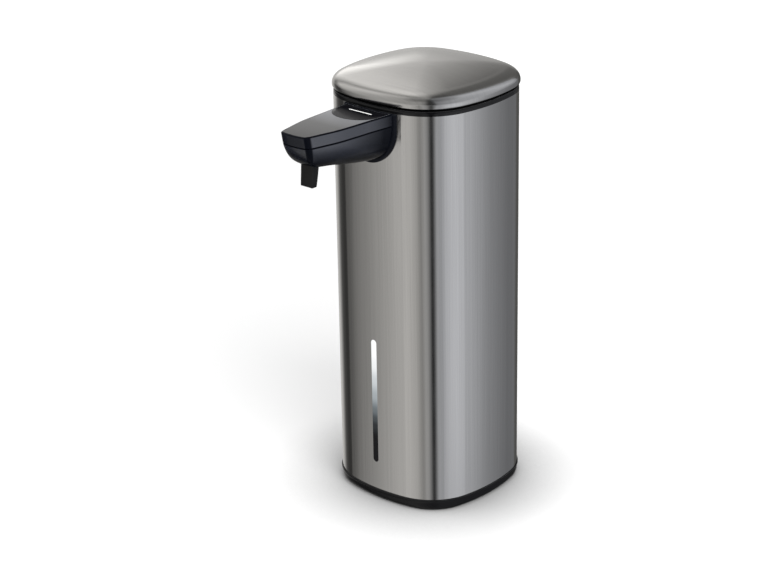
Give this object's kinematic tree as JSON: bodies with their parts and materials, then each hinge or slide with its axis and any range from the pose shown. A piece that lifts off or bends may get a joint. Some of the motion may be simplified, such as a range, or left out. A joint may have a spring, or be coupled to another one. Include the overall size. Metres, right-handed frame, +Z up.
{
  "type": "liquid soap dispenser",
  "caption": "Countertop soap dispenser with a hand sensor under its spout, a steel sleeve over a tank and geared pump, and a hinged lid over the filler.",
  "frame": {"origin": "on the counter, under the body's vertical axis, at the centre of the foot's underside", "axes": "+Z up, -Y towards the spout and the user, +X to the user's right hand when facing the spout"},
  "size_m": [0.0832, 0.1348, 0.219],
  "materials": {
    "brushed_steel": "dark nickel tone, brushed upright on the sleeve",
    "black_shell": "fine satin texture",
    "foot_rubber": "matte",
    "door_plastic": "fine texture",
    "screw_steel": "turned, zinc coated",
    "cell_sleeve": "satin printed sleeve without lettering",
    "spring_contacts": "nickel plated strip",
    "wire_sleeve": "soft insulation",
    "tank_plastic": "milky moulded",
    "cover_plastic": "milky moulded",
    "seal_rubber": "soft silicone",
    "tube_rubber": "soft clear silicone",
    "filter_mesh": "woven nylon",
    "light_guide": "clear light guide, frosted front",
    "board": "solder resist",
    "lamp_resin": "yellow white resin",
    "chassis_plastic": "plain moulded",
    "pump_plastic": "hard moulded",
    "gear_plastic": "acetal",
    "pin_steel": "ground",
    "pinion_brass": "cut",
    "motor_steel": "drawn, zinc coated",
    "magnet": "sintered ferrite",
    "rotor_copper": "lacquered winding on a steel shaft",
    "end_cap_plastic": "moulded",
    "chip_plastic": "moulded",
    "button_rubber": "soft",
    "liner_plastic": "fine texture",
    "spout_trim": "gloss",
    "spout_top": "satin top",
    "spout_body": "gloss",
    "smoked_window": "smoked clear",
    "eye_resin": "dark clear resin",
    "nozzle_rubber": "soft silicone"
  },
  "bodies": {
    "dispenser": {"steel_sleeve": "brushed_steel", "base_shell": "black_shell", "deck": "black_shell", "filler_neck": "black_shell", "foot_ring": "foot_rubber", "battery_door": "door_plastic", "battery_door_screw": "screw_steel", "case_screws": "screw_steel", "module_screws": "screw_steel", "pump_screws": "screw_steel", "small_screws": "screw_steel", "battery_cells": "cell_sleeve", "cell_contacts": "spring_contacts", "battery_leads": "wire_sleeve", "level_leads": "wire_sleeve", "motor_leads": "wire_sleeve", "sensor_leads": "wire_sleeve", "tank": "tank_plastic", "tank_cover": "cover_plastic", "tank_gasket": "seal_rubber", "shaft_seal": "seal_rubber", "mouth_seal": "seal_rubber", "pickup_tube": "tube_rubber", "outlet_tube": "tube_rubber", "nozzle_elbow": "tube_rubber", "pickup_filter": "filter_mesh", "level_window": "light_guide", "main_board": "board", "level_lamp_board": "board", "sensor_board": "board", "level_lamp": "lamp_resin", "indicator_lamp": "lamp_resin", "chassis": "chassis_plastic", "motor_bracket": "chassis_plastic", "pump_housing": "pump_plastic", "pump_cover": "pump_plastic", "idler_pin": "pin_steel", "hinge_pin": "pin_steel", "motor_can": "motor_steel", "motor_magnets": "magnet", "motor_end_cap": "end_cap_plastic", "board_parts": "chip_plastic", "spout_flange": "spout_trim", "spout_upper": "spout_top", "spout_lower": "spout_body", "indicator_window": "smoked_window", "sensor_window": "smoked_window", "sensor_eyes": "eye_resin", "duckbill_nozzle": "nozzle_rubber"},
    "lid": {"lid_cap": "brushed_steel", "lid_liner": "liner_plastic", "lid_gasket": "seal_rubber"},
    "drive": {"drive_wheel": "gear_plastic", "pump_drive_gear": "gear_plastic"},
    "idler": {"pump_idler_gear": "gear_plastic"},
    "rotor": {"motor_rotor": "rotor_copper", "motor_pinion": "pinion_brass"},
    "less_key": {"less_button": "button_rubber"},
    "power_key": {"power_button": "button_rubber"},
    "more_key": {"more_button": "button_rubber"}
  },
  "joints": [
    {"name": "lid_hinge", "type": "hinge", "parent": "dispenser", "child": "lid", "pos_m": [0, 0.039, 0.2092], "axis": [-1, 0, 0], "range_deg": [0, 88]},
    {"name": "drive_spin", "type": "hinge", "parent": "dispenser", "child": "drive", "pos_m": [-0.00607, -0.014, 0.12], "axis": [0, 0, 1], "continuous": true},
    {"name": "idler_spin", "type": "hinge", "parent": "dispenser", "child": "idler", "pos_m": [0.00607, -0.014, 0.12], "axis": [0, 0, 1], "continuous": true},
    {"name": "motor_spin", "type": "hinge", "parent": "dispenser", "child": "rotor", "pos_m": [0.01025, -0.014, 0.15], "axis": [0, 0, 1], "continuous": true},
    {"name": "less_press", "type": "slide", "parent": "dispenser", "child": "less_key", "axis": [0, 0, -1], "range_m": [0, 0.0007], "stiffness_N_per_m": 900, "springref_m": -0.0003},
    {"name": "power_press", "type": "slide", "parent": "dispenser", "child": "power_key", "axis": [0, 0, -1], "range_m": [0, 0.0007], "stiffness_N_per_m": 900, "springref_m": -0.0003},
    {"name": "more_press", "type": "slide", "parent": "dispenser", "child": "more_key", "axis": [0, 0, -1], "range_m": [0, 0.0007], "stiffness_N_per_m": 900, "springref_m": -0.0003}
  ],
  "couplings": [
    {"joint": "drive_spin", "follows": "motor_spin", "ratio": -0.28571},
    {"joint": "idler_spin", "follows": "motor_spin", "ratio": 0.28571}
  ]
}
